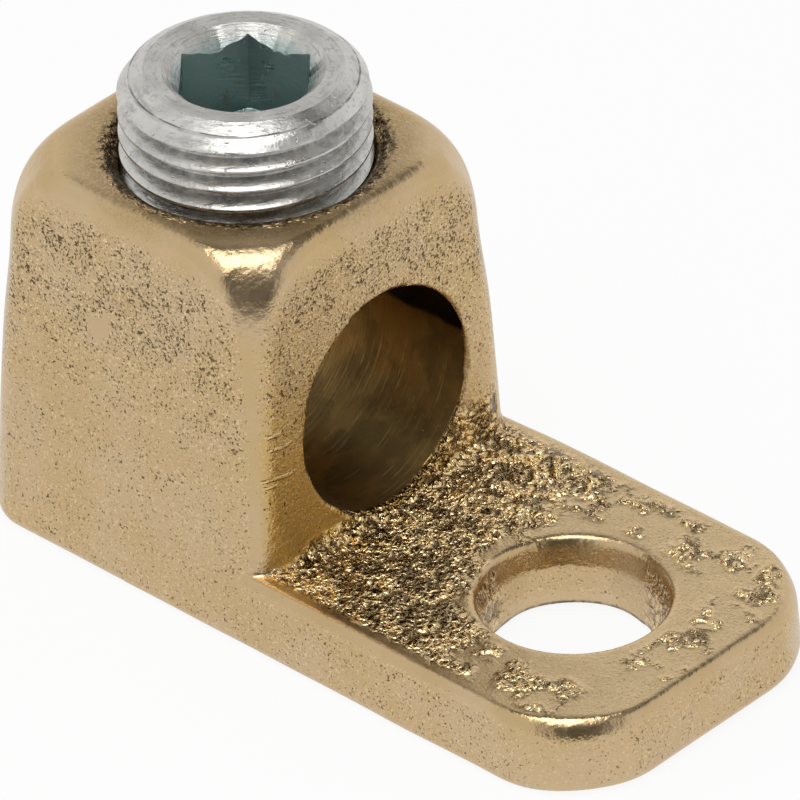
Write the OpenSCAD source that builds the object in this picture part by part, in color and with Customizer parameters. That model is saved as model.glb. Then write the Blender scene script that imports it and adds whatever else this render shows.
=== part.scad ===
// One-hole mechanical lug: a cast body with a flat tongue for a stud and a barrel for a wire,
// and the socket set screw that clamps the wire. Origin on the stud hole's axis, at the contact face.

/* [Tongue] */
// Thickness of the tongue
tongue_t = 5.1; // [3:0.1:8]
// Diameter of the stud hole
stud_hole_d = 11.2; // [6:0.1:14]
// What the stud hole's tapered mouth has over it at the top, in diameter
stud_mouth = 1.1; // [0.2:0.1:2]
// Depth of the stud hole's tapered mouth
stud_mouth_h = 1.8; // [0.5:0.1:2.5]
// Distance from the stud hole's axis to the tip of the tongue
tip_reach = 11.8; // [10:0.1:25]
// Radius of the tip's two corners, seen from above
tip_corner_r = 7.2; // [4:0.1:10]
// Rounding along the tongue's upper edge
tongue_edge_r = 1.1; // [0.3:0.1:2]

/* [Barrel] */
// Distance from the stud hole's axis to the foot of the barrel's front face
barrel_offset = 14.7; // [12:0.1:30]
// Length of the barrel at its foot
barrel_len = 25; // [23:0.1:40]
// Width of the casting at its foot
body_w = 25.1; // [23:0.1:40]
// Height of the barrel's flat top above the contact face
barrel_h = 27.2; // [25:0.1:40]
// Draft of the casting's sides, in degrees
draft = 3.5; // [1:0.5:5]
// Rounding of the barrel's top edges
top_edge_r = 1.8; // [0.5:0.1:3]
// What the upright corners' radius has over that rounding, at the top
corner_extra = 0.1; // [0.1:0.1:2]
// Rounding of the barrel's four upper corners, seen along a diagonal
corner_round_r = 6.5; // [4:0.1:8]
// Fillet between the barrel's front face and the tongue
root_r = 1.3; // [0.5:0.1:3]

/* [Wire bore] */
// Diameter of the wire's bore
wire_bore_d = 14.8; // [8:0.1:17]
// Height of the bore's floor above the tongue's upper face
bore_step = 0.15; // [0.1:0.05:3]

/* [Set screw] */
// Distance from the foot of the barrel's front face to the set screw's axis
screw_setback = 12.2; // [11:0.1:20]
// Outside diameter of the set screw's thread
screw_d = 15.875; // [14:0.005:17]
// Distance from crest to crest of the set screw's thread
thread_pitch = 1.411; // [0.9:0.001:2]
// Depth of the set screw's thread
thread_depth = 0.8; // [0.2:0.05:1]
// Length of the set screw
screw_len = 12.2; // [9:0.1:20]
// How far the set screw stands above the barrel's top
screw_proud = 5.3; // [-1:0.1:8]
// Lead chamfer at both ends of the set screw
screw_chamfer = 1.6; // [0.5:0.1:1.8]
// Width across the flats of the hex socket
key_af = 8; // [4:0.1:8.5]
// Depth of the hex socket
key_depth = 6; // [4:0.1:7]
// What the socket's countersunk mouth has over the hex corners
key_mouth = 0.5; // [0.1:0.1:0.6]
// Turn of the hex socket about the screw's axis, in degrees
key_turn = 10.6; // [0:0.1:60]
// Radial clearance between the set screw and its tapped hole
thread_gap = 0.1; // [0.05:0.01:0.3]
// Height of the tapped hole's end above the wire bore's axis
tap_end = 2.6; // [0.5:0.1:3.5]
// Width of the countersink around the tapped hole
tap_csk = 0.9; // [0.3:0.1:1.2]

/* [Hidden] */
$fn = 96;
// Overshoot of a cutting tool past the face that it cuts
cut = 1;
// Clearance between the foot of the upper corners' rounding and the upright corners
dome_gap = 0.1;
// Number of flat strips in the rounding of an upper edge, of an upper corner, and in the root fillet
edge_strips = 5;
dome_strips = 6;
root_strips = 3;
slope = tan(draft);
barrel_mid = -barrel_offset - barrel_len / 2;
upright_r = top_edge_r + corner_extra + barrel_h * slope;
bore_z = tongue_t + bore_step + wire_bore_d / 2;
screw_x = -barrel_offset - screw_setback;
screw_r = screw_d / 2;
screw_top = barrel_h + screw_proud;
// Width of the flats on the thread's crests and in its roots
thread_flat = thread_pitch / 8;
thread_turns = floor((screw_len - 2 * screw_chamfer) / thread_pitch);
tap_r = screw_r + thread_gap;
key_corner_r = key_af / 2 / cos(30);
key_mouth_r = key_corner_r + key_mouth;
// Depth of the 45-degree mouth, from its rim to the hex flats
key_mouth_h = key_mouth_r - key_af / 2;
dome_z = barrel_h - corner_round_r;
corner_reach = norm([barrel_len / 2 - upright_r, body_w / 2 - upright_r]) + upright_r - dome_z * slope;

// Half of an upright section: a foot of the given reach, a drafted side and a rounded upper edge
module edge_section(reach, h, edge_r) {
  edge_z = h - edge_r;
  edge_x = reach - edge_z * slope - edge_r / cos(draft);
  arc = [for (k = [0:edge_strips]) draft + (90 - draft) * k / edge_strips];
  edge = [for (a = arc) [edge_x + edge_r * cos(a), edge_z + edge_r * sin(a)]];
  polygon(concat([[0, 0], [reach, 0]], edge, [[0, h]]));
}

// The same section on both sides of the middle
module full_section(w, h, edge_r) {
  edge_section(w / 2, h, edge_r);
  mirror([1, 0])
    edge_section(w / 2, h, edge_r);
}

// A section drawn in X and Z, drawn out along Y about the middle
module along_y(len) {
  rotate([90, 0, 0])
    linear_extrude(len, center = true)
      children();
}

// A section drawn in Y and Z, drawn out along X from the start
module along_x(start, len) {
  translate([start, 0, 0])
    rotate([90, 0, 90])
      linear_extrude(len)
        children();
}

// A quarter of a drafted round post, turned from the given angle
module corner_post(r, h, edge_r, from) {
  rotate([0, 0, from])
    rotate_extrude(angle = 90)
      edge_section(r, h, edge_r);
}

// A round drum wider than the barrel, whose upper edge rounds off the barrel's four upper corners
module dome() {
  mid_x = corner_reach + dome_gap - corner_round_r;
  arc = [for (k = [0:dome_strips]) 90 * k / dome_strips];
  edge = [for (a = arc) [mid_x + corner_round_r * cos(a), dome_z + corner_round_r * sin(a)]];
  rotate_extrude()
    polygon(concat([[0, 0], [barrel_len, 0], [barrel_len, dome_z]], edge, [[0, barrel_h]]));
}

// The barrel before drilling, with drafted sides, round corners and rounded upper corners
module barrel_block() {
  post_x = barrel_len / 2 - upright_r;
  post_y = body_w / 2 - upright_r;
  intersection() {
    union() {
      along_y(2 * post_y)
        full_section(barrel_len, barrel_h, top_edge_r);
      along_x(-post_x, 2 * post_x)
        full_section(body_w, barrel_h, top_edge_r);
      for (turn = [0, 1, 2, 3])
        translate([(turn == 0 || turn == 3 ? 1 : -1) * post_x, (turn < 2 ? 1 : -1) * post_y, 0])
          corner_post(upright_r, barrel_h, top_edge_r, turn * 90);
    }
    dome();
  }
}

// The tongue, from the barrel's middle to the rounded tip
module tongue_slab() {
  post_x = tip_reach - tip_corner_r;
  post_y = body_w / 2 - tip_corner_r;
  along_x(barrel_mid, post_x - barrel_mid)
    full_section(body_w, tongue_t, tongue_edge_r);
  translate([post_x, 0, 0])
    along_y(2 * post_y)
      edge_section(tip_corner_r, tongue_t, tongue_edge_r);
  for (side = [0, 1])
    translate([post_x, (side == 0 ? 1 : -1) * post_y, 0])
      corner_post(tip_corner_r, tongue_t, tongue_edge_r, side == 0 ? 0 : -90);
}

// The fillet at the foot of the barrel's front face, as a few flat strips
module root_fillet() {
  fillet_z = tongue_t + root_r;
  fillet_x = -barrel_offset - fillet_z * slope + root_r;
  inner_x = -barrel_offset - upright_r;
  arc = [for (k = [0:root_strips]) 90 * k / root_strips];
  hollow = [for (a = arc) [fillet_x - root_r * sin(a), fillet_z - root_r * cos(a)]];
  along_y(body_w - 2 * upright_r)
    polygon(concat([[inner_x, tongue_t / 2], [fillet_x, tongue_t / 2]], hollow, [[inner_x, fillet_z]]));
}

// The stud hole with its tapered mouth
module stud_hole_cut() {
  mouth_h = stud_mouth_h + cut;
  mouth_d = stud_hole_d + stud_mouth * mouth_h / stud_mouth_h;
  translate([0, 0, -cut])
    cylinder(d = stud_hole_d, h = tongue_t + 2 * cut);
  translate([0, 0, tongue_t - stud_mouth_h])
    cylinder(d1 = stud_hole_d, d2 = mouth_d, h = mouth_h);
}

// The wire's bore, through the barrel and its front fillet
module wire_bore_cut() {
  bore_back = -barrel_offset - barrel_len - cut;
  translate([bore_back, 0, bore_z])
    rotate([0, 90, 0])
      cylinder(d = wire_bore_d, h = barrel_len + root_r + 2 * cut);
}

// The tapped hole, from the barrel's top into the bore, with its countersunk mouth
module tapped_hole_cut() {
  tap_z = bore_z + tap_end;
  translate([screw_x, 0, 0]) {
    translate([0, 0, tap_z])
      cylinder(r = tap_r, h = barrel_h - tap_z + cut);
    translate([0, 0, barrel_h - tap_csk])
      cylinder(r1 = tap_r, r2 = tap_r + tap_csk + cut, h = tap_csk + cut);
  }
}

// The casting: tongue and barrel in one piece
module lug_body() {
  color("#c3a06b")
    difference() {
      union() {
        translate([barrel_mid, 0, 0])
          barrel_block();
        tongue_slab();
        root_fillet();
      }
      stud_hole_cut();
      wire_bore_cut();
      tapped_hole_cut();
    }
}

// The set screw: a chamfered steel plug with a hex socket, its thread as a row of level grooves
module set_screw() {
  tip = screw_top - screw_len;
  thread_top = screw_top - screw_chamfer;
  reach = (thread_pitch - thread_flat) / 2;
  groove = [[0, -reach], [-thread_depth, -thread_flat / 2], [-thread_depth, thread_flat / 2], [0, reach]];
  thread = [
    for (k = [thread_turns:-1:1], p = groove)
      [screw_r + p[0], thread_top - (k - 0.5) * thread_pitch + p[1]]
  ];
  foot = [[0, tip], [screw_r - screw_chamfer, tip], [screw_r, tip + screw_chamfer]];
  head = [[screw_r, thread_top], [screw_r - screw_chamfer, screw_top], [0, screw_top]];
  color("#c9cdd0")
    translate([screw_x, 0, 0])
      difference() {
        rotate_extrude()
          polygon(concat(foot, thread, head));
        translate([0, 0, screw_top - key_depth])
          rotate([0, 0, key_turn])
            cylinder(r = key_corner_r, h = key_depth + cut, $fn = 6);
        translate([0, 0, screw_top - key_mouth_h])
          cylinder(r1 = key_af / 2, r2 = key_mouth_r + cut, h = key_mouth_h + cut);
      }
}

lug_body();
set_screw();
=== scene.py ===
import math

import bmesh
import bpy
import numpy as np
from mathutils import Matrix, Vector, noise


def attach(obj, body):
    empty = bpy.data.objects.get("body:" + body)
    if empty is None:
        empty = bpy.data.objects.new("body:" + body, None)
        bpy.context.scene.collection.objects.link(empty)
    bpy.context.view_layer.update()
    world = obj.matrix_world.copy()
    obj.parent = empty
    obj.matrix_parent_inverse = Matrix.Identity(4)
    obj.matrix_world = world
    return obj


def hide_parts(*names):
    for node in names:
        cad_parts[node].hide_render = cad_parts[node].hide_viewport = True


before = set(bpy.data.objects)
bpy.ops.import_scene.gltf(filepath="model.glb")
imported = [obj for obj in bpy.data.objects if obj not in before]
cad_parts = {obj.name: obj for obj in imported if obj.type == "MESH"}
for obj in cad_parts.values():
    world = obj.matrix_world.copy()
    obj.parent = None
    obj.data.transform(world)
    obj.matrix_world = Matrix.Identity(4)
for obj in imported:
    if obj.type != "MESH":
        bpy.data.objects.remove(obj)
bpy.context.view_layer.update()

# Lug casting: one piece of sand-cast bronze, a square drafted barrel on a flat tongue.
# It was tumbled after casting, so its edges are smooth and bright while the flats keep their pits.
# The wire bore and the tapped hole are machined, and the stud hole is cored.
MM = 0.001
BORE_Z, BORE_R = 12.65, 7.4
STUD_R, STUD_TAPER, STUD_TAPER_H = 6.15, 0.55, 1.8
SCREW_X, PITCH = -26.9, 1.411
TAP_R, TAP_Z, SINK = 8.04, 15.25, 1.2
BARREL_FRONT, BARREL_BACK, BARREL_TOP = -14.7, -39.7, 27.2
BARREL_MID, HALF_LEN = -27.2, 12.5
HALF_W, TONGUE_T, TIP_X = 12.55, 5.1, 11.8
SLOPE = math.tan(math.radians(3.5))
VOXEL = 0.265


def new_piece(name, bm):
    """An object with the mesh that bm holds, linked to the scene."""
    mesh = bpy.data.meshes.new(name)
    bm.to_mesh(mesh)
    bm.free()
    piece = bpy.data.objects.new(name, mesh)
    bpy.context.collection.objects.link(piece)
    return piece


def apply_modifiers(piece):
    """The piece's mesh with its modifiers made permanent."""
    depsgraph = bpy.context.evaluated_depsgraph_get()
    name = piece.data.name
    piece.data = bpy.data.meshes.new_from_object(piece.evaluated_get(depsgraph))
    piece.data.name = name
    piece.modifiers.clear()


def read(mesh, field):
    """A vertex field of a mesh as rows of three numbers."""
    numbers = np.empty(len(mesh.vertices) * 3)
    mesh.vertices.foreach_get(field, numbers)
    return numbers.reshape(-1, 3)


def step(low, high, value):
    """A smooth step from 0 at low to 1 at high."""
    t = np.clip((value - low) / (high - low), 0.0, 1.0)
    return t * t * (3.0 - 2.0 * t)


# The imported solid, cut into even small faces.
bm = bmesh.new()
bm.from_mesh(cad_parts["lug_body"].data)
bmesh.ops.remove_doubles(bm, verts=bm.verts, dist=0.002 * MM)
lug = new_piece("lug_casting", bm)
voxels = lug.modifiers.new("voxels", "REMESH")
voxels.mode = "VOXEL"
voxels.voxel_size = VOXEL * MM
soften = lug.modifiers.new("soften", "SMOOTH")
soften.factor = 0.5
soften.iterations = 8
apply_modifiers(lug)

# The casting's true form: drafted flats, round edges, and upper corners that tumbling wore down. Each
# function tells how far points are outside it. The far side lies twice FAR_IN further in than the near one.
UPRIGHT_R, ROOT_R, TIP_R = 3.56, 1.3, 7.2
TOP_IN, TOP_DOWN, EDGE_IN, EDGE_DOWN = 1.35, 2.6, 0.6, 1.5
WEAR, WEAR_IN, WEAR_DOWN = 1.2, 3.8, 6.0
UNDER_IN, UNDER_UP, UNDER_TIP = 0.8, 1.0, 0.3
FAR_IN = 0.12
LOOK_COS, LOOK_SIN = 0.73, 0.69


def fillet(a, b, r, s=None):
    """The greater of two distances, rounded over r along one of them and s along the other."""
    s = r if s is None else s
    u, v = a / r + 1, b / s + 1
    rounded = np.hypot(np.maximum(u, 0), np.maximum(v, 0)) + np.minimum(np.maximum(u, v), 0) - 1
    return rounded * np.sqrt(r * s)


def outside_barrel(x, y, z):
    ends = np.abs(x - BARREL_MID) - HALF_LEN + SLOPE * z
    sides = np.abs(y + FAR_IN) - (HALF_W - FAR_IN) + SLOPE * z
    more = 1 + 0.45 * step(-1.0, 1.0, sides - ends) * step(0.0, 2.0, y)
    more += 0.2 * step(-1.0, 1.0, ends - sides) * step(-27.0, -29.0, x)
    walls = fillet(ends, sides, UPRIGHT_R - SLOPE * z)
    block = fillet(walls, z - BARREL_TOP, TOP_IN * more, TOP_DOWN * more)
    wear = WEAR - 0.7 * step(20.0, 12.0, z)
    corner = fillet((ends + sides) / math.sqrt(2) + wear, z - BARREL_TOP, WEAR_IN, WEAR_DOWN)
    return fillet(block, corner, 0.8)


def outside_tongue(x, y, z):
    shift = FAR_IN * step(-12.0, -17.0, x)
    ends, sides = x - TIP_X + SLOPE * z, np.abs(y + shift) - (HALF_W - shift) + SLOPE * z
    corner = step(-5.5, -2.5, np.minimum(ends, sides))
    return fillet(fillet(ends, sides, TIP_R), z - TONGUE_T, EDGE_IN + 0.35 * corner, EDGE_DOWN)


def outside_lug(x, y, z):
    solid = np.minimum(outside_barrel(x, y, z), np.maximum(outside_tongue(x, y, z), BARREL_MID - x))
    root = ROOT_R * step(9.2, 7.6, np.abs(y)) + 0.02
    foot = -fillet(BARREL_FRONT - SLOPE * z - x, TONGUE_T - z, root)
    near_foot = (np.abs(x - BARREL_FRONT) < 2.0) & (z < TONGUE_T + 2.0) & (np.abs(y) < 8.9)
    solid = np.where(near_foot, foot, solid)
    under_tip = UNDER_TIP * step(6.0, 11.0, x)
    solid = fillet(solid, -z, UNDER_IN + under_tip, UNDER_UP + under_tip)
    solid = fillet(solid, BORE_R - np.hypot(y, z - BORE_Z), 0.2)
    from_tap = np.hypot(x - SCREW_X, y)
    tap = np.maximum(TAP_R - from_tap, (TAP_R + SINK - BARREL_TOP + z - from_tap) / math.sqrt(2))
    solid = fillet(solid, np.minimum(tap, z - TAP_Z), 0.3)
    # The stud hole's lower edge is broken on its far side, which faces the camera.
    away = (LOOK_COS * y - LOOK_SIN * x) / (np.hypot(x, y) + 0.1)
    broken = 0.4 * step(0.6, 0.95, away) * step(1.6, 0.0, z)
    taper = STUD_TAPER * np.clip((TONGUE_T - z) / STUD_TAPER_H, 0, 1)
    return fillet(solid, STUD_R - taper + broken - np.hypot(x, y), 0.3)


NUDGE = 0.01
points = read(lug.data, "co") / MM
for _ in range(6):
    gap = outside_lug(*points.T)
    nudged = [outside_lug(*(points + nudge).T) for nudge in np.eye(3) * NUDGE]
    slope = np.stack([(there - gap) / NUDGE for there in nudged], axis=1)
    slope /= np.maximum((slope * slope).sum(axis=1, keepdims=True), 0.1)
    points -= slope * np.clip(gap, -0.5, 0.5)[:, None]
lug.data.vertices.foreach_set("co", (points * MM).ravel())
lug.data.update()

normals = read(lug.data, "normal")
x, y, z = points.T.copy()
from_bore = np.hypot(y, z - BORE_Z)
from_stud = np.hypot(x, y)
from_tap = np.hypot(x - SCREW_X, y)
in_barrel = (x < BARREL_FRONT + 1) & (x > BARREL_BACK - 1)
behind_front = BARREL_FRONT - SLOPE * z - x
machined = step(0.25, 0.1, from_bore - BORE_R) * in_barrel * step(0.15, 0.3, behind_front)
machined = np.maximum(machined, step(TAP_R + 0.35, TAP_R + 0.2, from_tap) * (z > TAP_Z - 0.5))


def noise_at(scale, shift=(0, 0, 0)):
    """Smooth noise at every vertex, its place scaled and shifted first."""
    return np.array([noise.noise(Vector(p)) for p in points * scale + shift])


# The rough skin of the mould: all of the tongue's top near the barrel, and loose patches further out.
on_top = step(0.75, 0.95, normals[:, 2]) * (x > BARREL_FRONT - 1.5) * (z < 8)
patch = noise_at((0.36, 0.36, 0), (7.1, 2.4, 0)) + 0.6 * noise_at((1.2, 1.2, 0.5), (0, 0, 4.0))
near_barrel = step(-5.6, -7.6, x - 5.2 * step(-3.0, -7.5, y) + 2.0 * patch)
crumbs = noise_at((0.5, 0.62, 0), (0, 0, 1.7)) + 0.6 * noise_at((1.5, 1.5, 0), (0, 0, 8.2))
far_row = step(6.2, 7.2, y)
near_row = 0.85 * step(-6.6, -7.4, y) * step(-2.0, 0.0, x) * step(8.0, 6.5, x)
end_row = 0.85 * step(6.6, 7.4, x) * step(5.0, 4.0, np.abs(y - 1.0))
rows = np.maximum(np.maximum(far_row, near_row), end_row)
loose = step(0.0, 0.22, crumbs) * rows * step(STUD_R + 0.75, STUD_R + 1.45, from_stud)
inside = step(0.9, 2.0, HALF_W - 0.3 - np.abs(y)) * step(0.9, 2.0, TIP_X - x)
before_front = x < BARREL_FRONT + 2.5
foot = step(8.5, 6.0, z) * (x > BARREL_FRONT - 1.5) * before_front * step(0.2, 0.6, normals[:, 2])
front = step(0.35, 0.2, behind_front) * before_front * (z > TONGUE_T)
climb = front * step(9.3, 7.6, z + 1.4 * patch) * step(-4.0, -1.0, y + 2.0 * patch)
level_grain = np.maximum(near_barrel, 0.9 * loose) * on_top
grain = np.maximum(level_grain, np.maximum(foot, 0.85 * climb)) * inside * (1 - machined)
across_stud = np.abs(LOOK_COS * x + LOOK_SIN * y + 1.5 * patch) / STUD_R
stud_wall = (from_stud < STUD_R + 0.2) * step(0.55, 0.9, across_stud)
grain = np.maximum(grain, 0.5 * stud_wall * step(0.5, 0.2, normals[:, 2]) * (z < 4.5))

# The grain stands up from the metal, and all of the cast skin swells a little.
bumps = noise_at((1.1, 1.5, 1.1)) + 0.6 * noise_at(2.3)
swell = noise_at(0.16)
lift = 0.20 * bumps * grain + 0.13 * loose * on_top * inside + 0.05 * swell * (1 - machined)
points += normals * lift[:, None]
lug.data.vertices.foreach_set("co", (points * MM).ravel())

# Tumbling burnished every rounded edge.
squareness = np.abs(normals).max(axis=1)
burnish = step(0.985, 0.93, squareness) * (1 - machined) * (1 - grain)

# Pits stay where tumbling did not reach: the middles of the barrel's flats, the tongue's sides and,
# thinly, the stud hole. One spot of the near side is rubbed smooth.
RUBBED_X, RUBBED_Z = -29.0, 17.9
from_ends = np.minimum(x - BARREL_BACK - SLOPE * z, behind_front)
from_sides = HALF_W - SLOPE * z - np.abs(y)
across = np.where(np.abs(normals[:, 1]) > 0.8, from_ends, from_sides)
across = np.where(z < TONGUE_T + 1, 9.0, across)
below_top = (BARREL_TOP - z) * 0.55
margin = across * below_top / np.maximum(across + below_top, 0.1)
upright = step(0.55, 0.8, 1 - np.abs(normals[:, 2]))
pits = step(0.6, 1.4, margin) * upright
pits *= (0.62 + 0.38 * step(10.0, 20.0, z)) * (1 - 0.35 * burnish * (x > 0))
rubbed = np.hypot(x - RUBBED_X, z - RUBBED_Z) + 1.2 * patch
pits *= 1 - step(1.1, 0.6, rubbed) * (y < 0)
pits = np.where(from_stud < STUD_R + 0.2, 0.4 * upright, pits) * (1 - machined)

# Tumbling left the tongue's top satin, and the barrel's top less so.
satin = step(0.9, 0.97, normals[:, 2]) * (1 - machined) * np.where(z < 8, 1.0, 0.3)

# The tapped hole has the screw's thread.
tapped = step(TAP_R + 0.3, TAP_R + 0.15, from_tap) * step(TAP_Z - 0.1, TAP_Z + 0.2, z)

# The front face is painted yellower low down on its near side: a painted reflection of the tongue.
painted_tongue_reflection = step(0.7, 0.9, normals[:, 0]) * (np.abs(x - BARREL_FRONT) < 3) * step(24.0, 9.0, z) * (1 - machined)
painted_tongue_reflection *= 1 - 0.7 * step(2.0, 8.0, y)

fields = {"pits": pits, "grain": grain, "burnish": burnish, "satin": satin, "tapped": tapped, "painted_tongue_reflection": painted_tongue_reflection}
for name, values in fields.items():
    layer = lug.data.attributes.new(name, "FLOAT", "POINT")
    layer.data.foreach_set("value", values.astype(np.float32))
for polygon in lug.data.polygons:
    polygon.use_smooth = True


def open_tree(owner):
    """The emptied node tree of a material or a world."""
    owner.use_nodes = True
    owner.node_tree.nodes.clear()
    return owner.node_tree


def add(kind, inputs=(), **settings):
    """A new node in the tree at hand, with its settings, and each input linked or set to a value."""
    made = tree.nodes.new(kind)
    for key, value in settings.items():
        setattr(made, key, value)
    for key, value in dict(inputs).items():
        if isinstance(value, bpy.types.NodeSocket):
            tree.links.new(value, made.inputs[key])
        else:
            made.inputs[key].default_value = value
    return made


def calc(operation, *values):
    """The result of a Math node."""
    return add("ShaderNodeMath", enumerate(values), operation=operation).outputs[0]


def times(*values):
    """Values multiplied together."""
    product = values[0]
    for value in values[1:]:
        product = calc("MULTIPLY", product, value)
    return product


def add_up(start, *layers):
    """A value with others added to it, each times its weight."""
    for value, weight in layers:
        start = calc("MULTIPLY_ADD", value, weight, start)
    return start


def vector_calc(operation, *values):
    """The result of a Vector Math node, which is a number for a length or a dot product."""
    made = add("ShaderNodeVectorMath", enumerate(values), operation=operation)
    return made.outputs["Value" if operation in ("LENGTH", "DOT_PRODUCT") else "Vector"]


def ramp(value, low, high, to_low=0.0, to_high=1.0):
    """A value mapped smoothly from one range to another."""
    return add(
        "ShaderNodeMapRange",
        {"Value": value, "From Min": low, "From Max": high, "To Min": to_low, "To Max": to_high},
        interpolation_type="SMOOTHSTEP",
    ).outputs[0]


def coat(base, *coats):
    """A colour with others laid over it in turn, each with its mask."""
    for mask, over in coats:
        base = add("ShaderNodeMix", {0: mask, 6: base, 7: (*over, 1)}, data_type="RGBA").outputs[2]
    return base


def metal(colour, roughness, height):
    """A bare metal's shader, with its relief in millimetres."""
    bump = add("ShaderNodeBump", {"Height": height, "Distance": MM, "Strength": 1.0}).outputs[0]
    inputs = {"Base Color": colour, "Roughness": roughness, "Normal": bump, "Metallic": 1.0}
    shader = add("ShaderNodeBsdfPrincipled", inputs)
    add("ShaderNodeOutputMaterial", {"Surface": shader.outputs[0]})


def millimetres():
    """The object's coordinates in millimetres."""
    return vector_calc("MULTIPLY", add("ShaderNodeTexCoord").outputs["Object"], (1 / MM,) * 3)


def speckle(scale, detail=1.0, roughness=0.5, vector=None):
    """Noise with so many spots to the millimetre."""
    inputs = {"Vector": vector or place, "Scale": scale, "Detail": detail, "Roughness": roughness}
    return add("ShaderNodeTexNoise", inputs).outputs[0]


def granules(scale):
    """Uneven grains, so many to the millimetre: 1 on their tops, falling to 0 between them."""
    push = add("ShaderNodeTexNoise", {"Vector": place, "Scale": scale, "Detail": 1.0}).outputs["Color"]
    pushed = vector_calc("MULTIPLY_ADD", push, (1.4 / scale,) * 3, place)
    cell = add("ShaderNodeTexVoronoi", {"Vector": pushed, "Scale": scale}).outputs["Distance"]
    return calc("SUBTRACT", 1.0, calc("POWER", times(cell, 1.5), 2.0))


def distance(centre, keep):
    """How far the place is from a line, in millimetres."""
    return vector_calc("LENGTH", vector_calc("MULTIPLY", vector_calc("SUBTRACT", place, centre), keep))


bronze = bpy.data.materials.new("cast_bronze")
tree = open_tree(bronze)
place = millimetres()
place_x, place_y, place_z = add("ShaderNodeSeparateXYZ", {0: place}).outputs
on = {name: add("ShaderNodeAttribute", attribute_name=name).outputs["Fac"] for name in fields}

# The bore and the tapped hole are bare metal up to their very edges.
to_bore = distance((0, 0, BORE_Z), (0, 1, 1))
in_front = ramp(place_x, BARREL_FRONT + 0.5, BARREL_FRONT + 0.1)
bored = times(ramp(to_bore, BORE_R + 0.1, BORE_R + 0.04), in_front)
# Their colour below is partly their own and partly painted shade.
bare_and_shaded = calc("MAXIMUM", bored, on["tapped"])
skin = calc("SUBTRACT", 1.0, bare_and_shaded)

# Pits are the deepest spots of a fine noise, denser in some places than in others. Some are deep and
# dark, and bright specks of painted highlight stand among them.
fine = speckle(5.4, 2.0)
large = speckle(3.2)
cluster = speckle(0.5, 2.0)
dense = times(ramp(cluster, 0.35, 0.6, 0.65, 1.02), on["pits"], 0.20)
fine_dense = calc("ADD", fine, dense)
pit = ramp(fine_dense, 0.73, 0.78)
deep = calc("MAXIMUM", ramp(calc("ADD", large, dense), 0.82, 0.88), ramp(fine_dense, 0.80, 0.86))
aside = vector_calc("ADD", place, (31.0, 17.0, 5.0))
painted_peak_highlight = times(on["pits"], ramp(speckle(5.6, vector=aside), 0.57, 0.68))

# Tool marks go round the bore: noise drawn out along the turn and fine along the axis. They are bright
# low down, and the bore is murky in places; its upper half is painted near black as painted shade.
marks = speckle(1.0, 2.0, vector=vector_calc("MULTIPLY", place, (5.0, 0.16, 0.16)))
crust = speckle(0.65, 2.5)
scratch = times(bored, ramp(marks, 0.58, 0.68, 0.0, 0.55), ramp(crust, 0.44, 0.56))
scratch = times(scratch, ramp(place_z, 13.0, 10.5))
murk = times(bored, ramp(speckle(0.45, 3.0), 0.42, 0.62, 0.0, 0.5))
painted_bore_shade = times(bored, ramp(calc("ADD", cluster, place_z), 14.2, 14.9))

# A few level file strokes cross the front face beside the bore: height, start and end of each.
STROKES = ((11.8, -11.0, -8.2), (11.3, -10.9, -9.8), (13.95, -10.5, -8.4), (14.9, -10.5, -9.3))
STROKE_FADE = 0.5
filed = 0.0
wobble = calc("MULTIPLY_ADD", cluster, 0.5, place_z)
for stroke_z, start_y, end_y in STROKES:
    off = calc("ABSOLUTE", calc("SUBTRACT", wobble, stroke_z + 0.25))
    begun = ramp(place_y, start_y, start_y + STROKE_FADE)
    ended = ramp(place_y, end_y, end_y - STROKE_FADE)
    filed = calc("MAXIMUM", filed, times(ramp(off, 0.17, 0.05), begun, ended))
filed = times(filed, ramp(place_x, -17.0, -16.5))

# The mould's grain: sand grains printed in the metal, with painted highlights on their tops and painted
# shade between them.
sand = add_up(ramp(crust, 0.34, 0.64, -0.32, 0.46), (granules(2.1), 0.8))
painted_grain_highlight = times(on["grain"], ramp(sand, 0.45, 0.8, 0.0, 0.9))
painted_grain_shade = times(on["grain"], ramp(sand, 0.45, 0.05, 0.0, 0.82))

# The satin metal has painted glints, with dull specks between.
glitter = speckle(6.0, 2.0, 0.6)
painted_glint = times(on["satin"], ramp(glitter, 0.57, 0.68, 0.0, 0.45))
dull = times(on["satin"], ramp(glitter, 0.40, 0.30, 0.0, 0.55))

# Painted shade darkens the stud hole's lower edge and the top round the screw, and a speckled dark band
# covers the countersink.
crumb = speckle(2.0, 2.0)
to_stud = distance((0, 0, 0), (1, 1, 0))
painted_lip_shade = times(ramp(to_stud, STUD_R + 0.25, STUD_R), ramp(place_z, 0.50, 0.25))
painted_lip_shade = times(painted_lip_shade, ramp(crumb, 0.35, 0.6, 0.4, 0.95))
to_rim = distance((SCREW_X + 0.3, -0.3, 0), (1, 1, 0))
past_rim = add_up(calc("SUBTRACT", to_rim, TAP_R + SINK), (crumb, 1.2))
up_high = ramp(place_z, BARREL_TOP - 2.0, BARREL_TOP - 1.2)
sink_band = times(ramp(past_rim, 0.75, 0.25), up_high)
dark_sink_band = times(sink_band, ramp(sand, 0.75, 0.45, 0.2, 0.85))
painted_screw_shade = times(ramp(past_rim, 2.6, 0.6), up_high, ramp(glitter, 0.60, 0.45, 0.15, 0.6))

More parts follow.
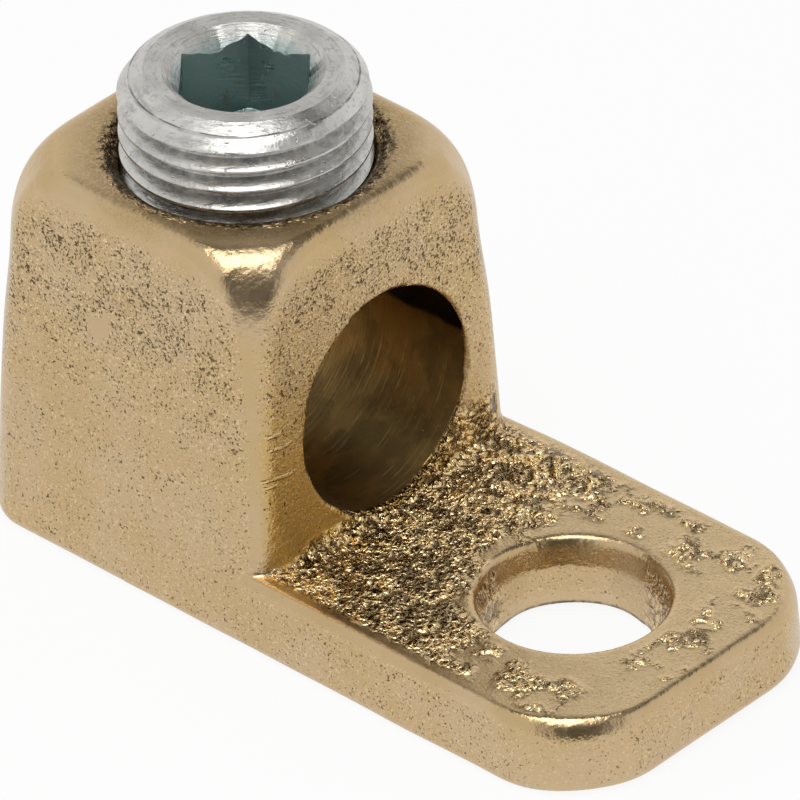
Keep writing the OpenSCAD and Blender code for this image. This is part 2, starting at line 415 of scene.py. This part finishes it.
tone = speckle(0.22, 3.0)
colour = coat(
    (0.56, 0.40, 0.205, 1),
    (ramp(tone, 0.35, 0.65), (0.60, 0.445, 0.265)),
    (times(on["satin"], 0.8), (0.73, 0.54, 0.30)),
    # Painted glints on the satin metal.
    (painted_glint, (0.90, 0.75, 0.50)),
    (dull, (0.30, 0.20, 0.09)),
    # Painted reflection of the tongue, low on the front face's near side.
    (times(on["painted_tongue_reflection"], 0.9), (0.56, 0.36, 0.10)),
    # Painted highlights: bright specks among the pits.
    (times(painted_peak_highlight, 0.75), (0.84, 0.67, 0.42)),
    # Painted highlights on the grain's tops.
    (painted_grain_highlight, (0.93, 0.69, 0.34)),
    # Painted shade between the grains.
    (painted_grain_shade, (0.12, 0.075, 0.025)),
    # Bare metal in the bore and tapped hole: darker and browner, partly its own colour and partly painted
    # shade inside the holes.
    (times(bare_and_shaded, 0.85), (0.44, 0.27, 0.085)),
    (murk, (0.16, 0.12, 0.05)),
    (scratch, (0.80, 0.56, 0.25)),
    # Painted shade: the bore's upper half near black.
    (painted_bore_shade, (0.012, 0.009, 0.006)),
    (times(filed, 0.55), (0.85, 0.65, 0.36)),
    # Painted shade along the stud hole's lower edge.
    (painted_lip_shade, (0.07, 0.05, 0.025)),
    # Painted shade on the top round the screw.
    (painted_screw_shade, (0.34, 0.23, 0.10)),
    # A speckled dark band over the countersink and just past its rim.
    (dark_sink_band, (0.10, 0.065, 0.025)),
    (times(pit, 0.55), (0.22, 0.14, 0.05)),
    (times(deep, 0.85), (0.07, 0.042, 0.012)),
)
around = calc("ARCTAN2", place_y, calc("ADD", place_x, -SCREW_X))
wind = add_up(calc("DIVIDE", place_z, PITCH), (around, -1 / (2 * math.pi)))
height = add_up(
    0.0,
    (times(sand, calc("MAXIMUM", on["grain"], times(sink_band, 0.6))), 0.21),
    (filed, 0.07),
    (pit, -0.045),
    (deep, -0.03),
    (times(fine, skin), 0.015),
    (times(fine, on["pits"]), 0.05),
    (times(large, on["pits"]), 0.05),
    (times(glitter, on["satin"]), 0.02),
    (times(marks, bare_and_shaded), 0.013),
    (cluster, 0.05),
    (times(crumb, on["burnish"]), 0.035),
    (times(calc("PINGPONG", wind, 0.5), on["tapped"]), 0.8),
)
roughness = add_up(
    ramp(tone, 0.3, 0.7, 0.36, 0.46),
    (on["burnish"], -0.13),
    (on["grain"], -0.24),
    (on["satin"], -0.08),
)
metal(colour, roughness, height)
lug.data.materials.clear()
lug.data.materials.append(bronze)
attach(lug, "lug")
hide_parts("lug_body")

# Set screw: turned from steel bar, rolled with a fine 60-degree thread, broached for a hex key and
# zinc plated. Its crests are a little worn, and the thread runs out into the chamfers at both ends.
SCREW_R, SCREW_TOP, SCREW_TIP = 7.94, 32.5, 20.3
THREAD_DEPTH, THREAD_PHASE = 0.80, 0.179
CREST, FLANK = 0.06, 0.36
CHAMFER = 1.65
END_R = SCREW_R - CHAMFER
KEY_FLAT, KEY_MOUTH, KEY_FLOOR = 4.0, 5.12, 26.5
KEY_TURN = math.radians(10.6)
ROUND, ROWS = 192, 20

# The thread: an upright line of vertices wound round the axis, then moved in and out.
bm = bmesh.new()
count = int(math.ceil((SCREW_TOP - SCREW_TIP) / PITCH + 2) * ROWS)
chain = [bm.verts.new((1, 0, SCREW_TIP - 1.5 * PITCH + PITCH * i / ROWS)) for i in range(count + 1)]
edges = [bm.edges.new(pair) for pair in zip(chain, chain[1:])]
bmesh.ops.spin(
    bm,
    geom=chain + edges,
    cent=(0, 0, 0),
    axis=(0, 0, 1),
    dvec=(0, 0, PITCH / ROUND),
    angle=2 * math.pi,
    steps=ROUND,
    use_merge=False,
)
for v in bm.verts:
    turn = math.atan2(v.co.y, v.co.x) % (2 * math.pi)
    phase = (v.co.z / PITCH - turn / (2 * math.pi) + THREAD_PHASE) % 1.0
    tooth = min(max((abs(phase - 0.5) - CREST) / FLANK, 0.0), 1.0)
    tooth = tooth * tooth * (3 - 2 * tooth) * 0.35 + tooth * 0.65
    radius = SCREW_R - THREAD_DEPTH * tooth
    radius += 0.018 * noise.noise(Vector((v.co.x * 5, v.co.y * 5, v.co.z * 0.8)))
    vertex_z = min(max(v.co.z, SCREW_TIP), SCREW_TOP)
    drop = min(SCREW_TOP - vertex_z, vertex_z - SCREW_TIP)
    radius = min(radius, END_R + min(drop * 1.82, 0.42 + drop * 0.98))
    angle = turn + KEY_TURN
    v.co = (radius * math.cos(angle), radius * math.sin(angle), vertex_z)
bmesh.ops.remove_doubles(bm, verts=bm.verts, dist=0.0005)
bmesh.ops.dissolve_degenerate(bm, edges=bm.edges, dist=0.0005)


def ring(radius_of, height_of):
    """A closed ring of vertices round the screw's axis."""
    made = []
    for i in range(ROUND):
        angle = 2 * math.pi * i / ROUND
        r = radius_of(angle)
        at = angle + KEY_TURN
        made.append(bm.verts.new((r * math.cos(at), r * math.sin(at), height_of(angle, r))))
    return made


def hex_radius(angle):
    """The hex socket's reach at an angle from one of its corners."""
    return KEY_FLAT / math.cos(angle % (math.pi / 3) - math.pi / 6)


def burr(angle, r):
    """The ragged line where the broach broke through the countersink."""
    ragged = noise.noise(Vector((math.cos(angle) * 6, math.sin(angle) * 6, 3.3)))
    return SCREW_TOP - (KEY_MOUTH - r) + 0.16 * ragged


# The top face and the socket, from the chamfer inwards and down to the socket's floor.
rings = [
    ring(lambda a: END_R, lambda a, r: SCREW_TOP),
    ring(lambda a: KEY_MOUTH, lambda a, r: SCREW_TOP - 0.02),
    ring(hex_radius, burr),
    ring(lambda a: hex_radius(a) - 0.02, lambda a, r: burr(a, r) - 0.1),
    ring(hex_radius, lambda a, r: KEY_FLOOR),
    ring(lambda a: 1.2, lambda a, r: KEY_FLOOR - 0.9),
]
for upper, lower in zip(rings, rings[1:]):
    for i in range(ROUND):
        j = (i + 1) % ROUND
        bm.faces.new((upper[i], upper[j], lower[j], lower[i]))
bm.faces.new(rings[-1])
bm.faces.new(ring(lambda a: END_R, lambda a, r: SCREW_TIP))
bmesh.ops.remove_doubles(bm, verts=bm.verts, dist=0.003)
bmesh.ops.recalc_face_normals(bm, faces=bm.faces)
bmesh.ops.translate(bm, verts=bm.verts, vec=(SCREW_X, 0, 0))
bmesh.ops.scale(bm, verts=bm.verts, vec=(MM, MM, MM))
for face in bm.faces:
    face.smooth = True
for e in bm.edges:
    at_top = all(v.co.z > (SCREW_TOP - 0.001) * MM for v in e.verts)
    if len(e.link_faces) == 2 and (at_top or e.calc_face_angle(0) > math.radians(35)):
        e.smooth = False
screw = new_piece("set_screw_plated", bm)

steel = bpy.data.materials.new("plated_steel")
tree = open_tree(steel)
place = millimetres()
place_z = add("ShaderNodeSeparateXYZ", {0: place}).outputs[2]
below_end = calc("SUBTRACT", SCREW_TOP, place_z)
arm = vector_calc("MULTIPLY", vector_calc("ADD", place, (-SCREW_X, 0, 0)), (1, 1, 0))
from_axis = vector_calc("LENGTH", arm)

# Turning marks go round the axis: noise that changes fast across them and slowly along them.
over = times(calc("ADD", from_axis, place_z), 3.0)
over = add("ShaderNodeCombineXYZ", {2: over}).outputs[0]
round_place = vector_calc("MULTIPLY_ADD", vector_calc("NORMALIZE", arm), (2.2, 2.2, 0), over)
streak = speckle(1.6, 4.0, 0.65, vector=round_place)

# The plating is cloudy, mottled and nicked. Painted shade darkens the thread's roots and the crease of the
# chamfer, and the socket is greenish, darkened with painted shade, with a little rust near its floor.
cloud = speckle(0.5, 3.0)
mottle = speckle(1.8, 4.0, 0.7)
in_socket = times(ramp(from_axis, 4.75, 4.6), ramp(below_end, 0.3, 1.1))
nick = times(speckle(2.6, 2.0), calc("SUBTRACT", 1.0, in_socket))
outer = ramp(from_axis, 6.6, 6.8)
# Painted shade in the thread's roots.
root = times(ramp(from_axis, 7.7, 7.3), ramp(below_end, 1.6, 2.0), outer)
painted_crease_shade = times(ramp(calc("ABSOLUTE", calc("SUBTRACT", below_end, 0.5)), 0.06, 0.02), outer)
rust = times(in_socket, ramp(speckle(0.9, 3.0), 0.56, 0.68, 0.0, 0.6), ramp(below_end, 3.0, 5.0))
colour = coat(
    (0.55, 0.535, 0.50, 1),
    (ramp(cloud, 0.3, 0.7), (0.69, 0.675, 0.64)),
    (ramp(streak, 0.52, 0.68, 0.0, 0.7), (0.36, 0.365, 0.365)),
    (ramp(mottle, 0.52, 0.66, 0.0, 0.6), (0.38, 0.40, 0.41)),
    (ramp(nick, 0.71, 0.76, 0.0, 0.5), (0.12, 0.14, 0.15)),
    # Painted shade in the thread's roots.
    (times(root, ramp(mottle, 0.35, 0.6, 0.2, 0.55)), (0.17, 0.18, 0.19)),
    # Painted shade along the chamfer's crease.
    (times(painted_crease_shade, ramp(streak, 0.40, 0.56, 0.1, 0.85)), (0.10, 0.11, 0.12)),
    # The socket's colour: greenish, darkened with painted shade inside the recess.
    (times(in_socket, 0.8), (0.30, 0.41, 0.40)),
    (rust, (0.42, 0.30, 0.20)),
)
height = add_up(0.0, (streak, 0.06), (mottle, 0.03), (ramp(nick, 0.67, 0.74), -0.04))
roughness = calc("ADD", ramp(cloud, 0.3, 0.7, 0.24, 0.36), ramp(below_end, 0.6, 0.4, 0.0, 0.08))
metal(colour, roughness, height)
screw.data.materials.append(steel)
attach(screw, "screw")
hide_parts("set_screw")

# Floor: a wide white table under the lug. The camera and the metal see it white, and it keeps the shadow.
FLOOR_HALF, FLOOR_DROP = 4.0, 0.0001
bm = bmesh.new()
bmesh.ops.create_grid(bm, x_segments=1, y_segments=1, size=FLOOR_HALF)
bmesh.ops.translate(bm, verts=bm.verts, vec=(0, 0, -FLOOR_DROP))
floor = new_piece("floor", bm)
white = bpy.data.materials.new("floor_white")
tree = open_tree(white)
path = add("ShaderNodeLightPath").outputs
sees = calc("MAXIMUM", path["Is Camera Ray"], path["Is Glossy Ray"])
sees = calc("MAXIMUM", sees, path["Is Transmission Ray"])
matt = add("ShaderNodeBsdfDiffuse", {"Color": (0.92, 0.92, 0.92, 1)}).outputs[0]
glow = add("ShaderNodeEmission", {"Color": (1, 1, 1, 1), "Strength": 1.0}).outputs[0]
mixed = add("ShaderNodeMixShader", {0: times(sees, 0.90), 1: matt, 2: glow}).outputs[0]
add("ShaderNodeOutputMaterial", {"Surface": mixed})
floor.data.materials.append(white)

# Studio: a white sweep behind and beside the table, a dark room on the camera's side and above the
# sweep, and one large soft box overhead. The camera itself sees plain white.
AZIMUTH, ELEVATION, ROLL = (math.radians(d) for d in (43.369, 34.505, -1.376))
DARK_AZIMUTH = AZIMUTH + 0.15
ROOM_LIGHT, SWEEP_LIGHT = 0.10, 0.80
world = bpy.data.worlds.new("studio")
bpy.context.scene.world = world
tree = open_tree(world)
way = add("ShaderNodeTexCoord").outputs["Generated"]
rise = add("ShaderNodeSeparateXYZ", {0: way}).outputs[2]
flat = vector_calc("NORMALIZE", vector_calc("MULTIPLY", way, (1, 1, 0)))
towards = vector_calc("DOT_PRODUCT", flat, (math.sin(DARK_AZIMUTH), -math.cos(DARK_AZIMUTH), 0))
beside = vector_calc("DOT_PRODUCT", way, (-math.cos(AZIMUTH), -math.sin(AZIMUTH), 0))
# On the camera's left the sweep goes higher.
rise = calc("SUBTRACT", rise, ramp(beside, 0.12, 0.5, 0.0, 0.18))
sweep = times(ramp(rise, 0.78, 0.62), ramp(towards, 0.94, 0.80))
light = add_up(ROOM_LIGHT, (sweep, SWEEP_LIGHT))
light = calc("MAXIMUM", light, add("ShaderNodeLightPath").outputs["Is Camera Ray"])
sky = add("ShaderNodeBackground", {"Color": (1, 1, 1, 1), "Strength": light}).outputs[0]
add("ShaderNodeOutputWorld", {"Surface": sky})

box = bpy.data.lights.new("soft_box", "AREA")
box.shape = "RECTANGLE"
box.size = 0.28
box.size_y = 0.40
box.energy = 1.45
soft_box = bpy.data.objects.new("soft_box", box)
bpy.context.collection.objects.link(soft_box)
soft_box.location = (0.081, -0.148, 0.50)
soft_box.rotation_euler = (0, 0, AZIMUTH)

# Camera: a long lens at the photograph's angle. Sizes in PX are in pixels of the photograph.
LENS_PX, SCALE_PX, WIDTH_PX = 12169.66, 16.114, 800
SENSOR = 36
SHIFT_X, SHIFT_Y = 10.79, -16.169
level_back = Vector((math.sin(AZIMUTH), -math.cos(AZIMUTH), 0))
back = level_back * math.cos(ELEVATION) + Vector((0, 0, math.sin(ELEVATION)))
level_right = Vector((math.cos(AZIMUTH), math.sin(AZIMUTH), 0))
level_up = back.cross(level_right)
right = level_right * math.cos(ROLL) + level_up * math.sin(ROLL)
up = level_up * math.cos(ROLL) - level_right * math.sin(ROLL)
lens = bpy.data.cameras.new("camera")
lens.sensor_width = SENSOR
lens.lens = SENSOR * LENS_PX / WIDTH_PX
camera = bpy.data.objects.new("camera", lens)
bpy.context.collection.objects.link(camera)
turned = Matrix((right, up, back)).transposed().to_4x4()
turned.translation = (back * (LENS_PX / SCALE_PX) - right * SHIFT_X - up * SHIFT_Y) * MM
camera.matrix_world = turned
bpy.context.scene.camera = camera
bpy.context.scene.view_settings.view_transform = "Standard"
